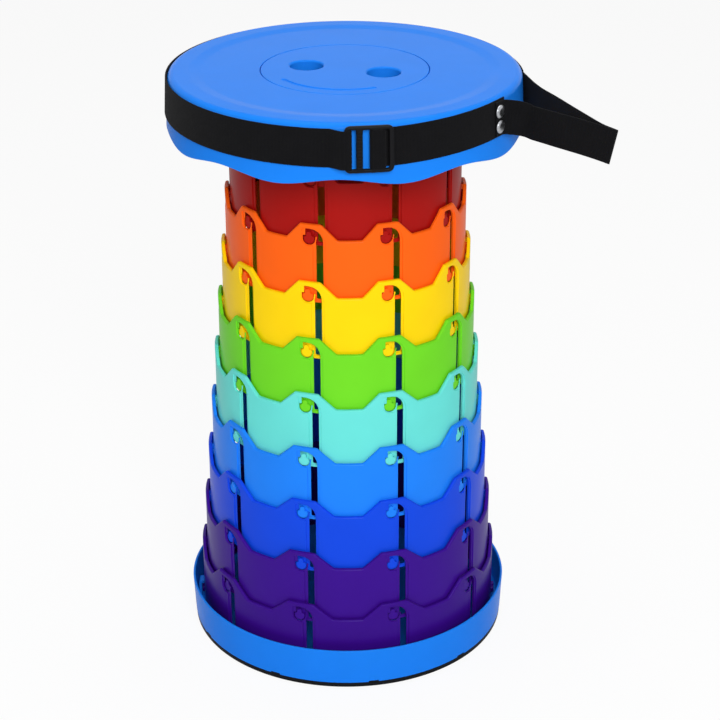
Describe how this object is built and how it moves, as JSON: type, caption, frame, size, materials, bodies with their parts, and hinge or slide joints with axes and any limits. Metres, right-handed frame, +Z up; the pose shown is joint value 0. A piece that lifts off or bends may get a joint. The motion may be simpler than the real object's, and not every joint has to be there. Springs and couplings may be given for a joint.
{
  "type": "collapsible telescopic stool",
  "caption": "Round seat on telescoping rings that lock in lugged windows and sink into a low base tray, with a webbing belt and carrying loop.",
  "frame": {"origin": "centre of the bottom plate's underside, on the stool's axis at the floor", "axes": "+Z up along the stool's axis, -Y towards the front of the pictured view, +X to its right, where the carrying loop is"},
  "size_m": [0.3158, 0.2629, 0.4475],
  "materials": {
    "blue_plastic": "moulded, satin to glossy",
    "black_plastic": "moulded, fine satin",
    "webbing": "woven polypropylene webbing",
    "steel": "plated steel",
    "purple_plastic": "moulded, satin to glossy",
    "violet_plastic": "moulded, satin to glossy",
    "royal_plastic": "moulded, satin to glossy",
    "sky_plastic": "moulded, satin to glossy",
    "turquoise_plastic": "moulded, satin to glossy",
    "green_plastic": "moulded, satin to glossy",
    "yellow_plastic": "moulded, satin to glossy",
    "orange_plastic": "moulded, satin to glossy",
    "red_plastic": "moulded, satin to glossy"
  },
  "bodies": {
    "base": {"bottom_plate": "black_plastic", "base_tray": "blue_plastic", "ring_purple": "purple_plastic"},
    "ring_violet_body": {"ring_violet": "violet_plastic"},
    "ring_royal_body": {"ring_royal": "royal_plastic"},
    "ring_sky_body": {"ring_sky": "sky_plastic"},
    "ring_turquoise_body": {"ring_turquoise": "turquoise_plastic"},
    "ring_green_body": {"ring_green": "green_plastic"},
    "ring_yellow_body": {"ring_yellow": "yellow_plastic"},
    "ring_orange_body": {"ring_orange": "orange_plastic"},
    "ring_red_body": {"ring_red": "red_plastic"},
    "seat_body": {"collar_red": "red_plastic", "collar_screw_1": "steel", "collar_screw_2": "steel", "collar_screw_3": "steel", "collar_screw_4": "steel", "seat_shell": "blue_plastic", "centre_cap": "blue_plastic", "strap_long": "webbing", "strap_short": "webbing", "strap_loop": "webbing", "strap_buckle": "black_plastic", "strap_rivet_1": "steel", "rivet_washer_1": "steel", "strap_rivet_2": "steel", "rivet_washer_2": "steel"}
  },
  "joints": [
    {"name": "ring_violet_slide", "type": "slide", "parent": "base", "child": "ring_violet_body", "axis": [0, 0, 1], "range_m": [-0.042, 0]},
    {"name": "ring_royal_slide", "type": "slide", "parent": "ring_violet_body", "child": "ring_royal_body", "axis": [0, 0, 1], "range_m": [-0.042, 0]},
    {"name": "ring_sky_slide", "type": "slide", "parent": "ring_royal_body", "child": "ring_sky_body", "axis": [0, 0, 1], "range_m": [-0.042, 0]},
    {"name": "ring_turquoise_slide", "type": "slide", "parent": "ring_sky_body", "child": "ring_turquoise_body", "axis": [0, 0, 1], "range_m": [-0.042, 0]},
    {"name": "ring_green_slide", "type": "slide", "parent": "ring_turquoise_body", "child": "ring_green_body", "axis": [0, 0, 1], "range_m": [-0.042, 0]},
    {"name": "ring_yellow_slide", "type": "slide", "parent": "ring_green_body", "child": "ring_yellow_body", "axis": [0, 0, 1], "range_m": [-0.042, 0]},
    {"name": "ring_orange_slide", "type": "slide", "parent": "ring_yellow_body", "child": "ring_orange_body", "axis": [0, 0, 1], "range_m": [-0.042, 0]},
    {"name": "ring_red_slide", "type": "slide", "parent": "ring_orange_body", "child": "ring_red_body", "axis": [0, 0, 1], "range_m": [-0.042, 0]},
    {"name": "seat_slide", "type": "slide", "parent": "ring_red_body", "child": "seat_body", "axis": [0, 0, 1], "range_m": [-0.042, 0]}
  ]
}
